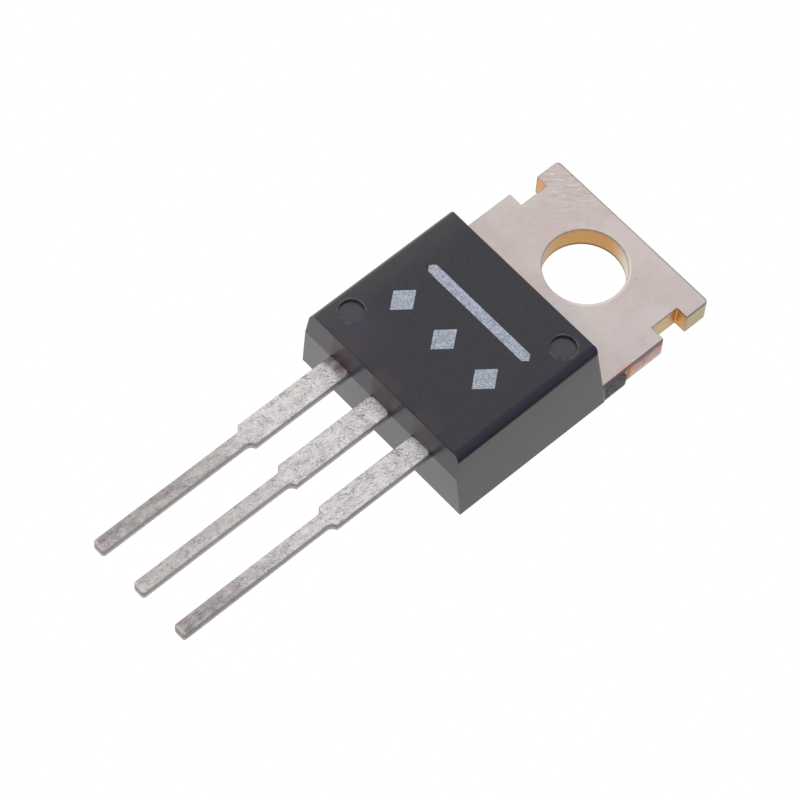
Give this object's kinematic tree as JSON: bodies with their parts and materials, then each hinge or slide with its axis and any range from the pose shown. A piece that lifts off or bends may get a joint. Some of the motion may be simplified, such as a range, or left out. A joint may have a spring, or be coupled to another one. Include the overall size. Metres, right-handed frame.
{
  "type": "power transistor",
  "caption": "Moulded power transistor with flat stepped leads at one end and a drilled, notched metal heat-sink tab at the other.",
  "frame": {"origin": "centre of the mounting hole, on the back plane of the tab", "axes": "+X across the leads, from base to emitter; +Y from the leads to the tab; +Z out of the marked face"},
  "size_m": [0.01, 0.0282, 0.0044],
  "materials": {
    "moulding": "semi-gloss moulded epoxy",
    "plated_copper": "satin plated copper, bare copper on the punched edges",
    "tinned_lead": "dull tinned",
    "silicon": "polished wafer",
    "solder": "dull solder",
    "bond_wire": "drawn aluminium",
    "print": "speckled white print"
  },
  "bodies": {
    "root": {"moulded_body": "moulding", "heat_sink_frame": "plated_copper", "collector_lead": "tinned_lead", "base_lead": "tinned_lead", "emitter_lead": "tinned_lead", "silicon_die": "silicon", "die_attach_solder": "solder", "base_wire": "bond_wire", "emitter_wire": "bond_wire"}
  },
  "joints": []
}
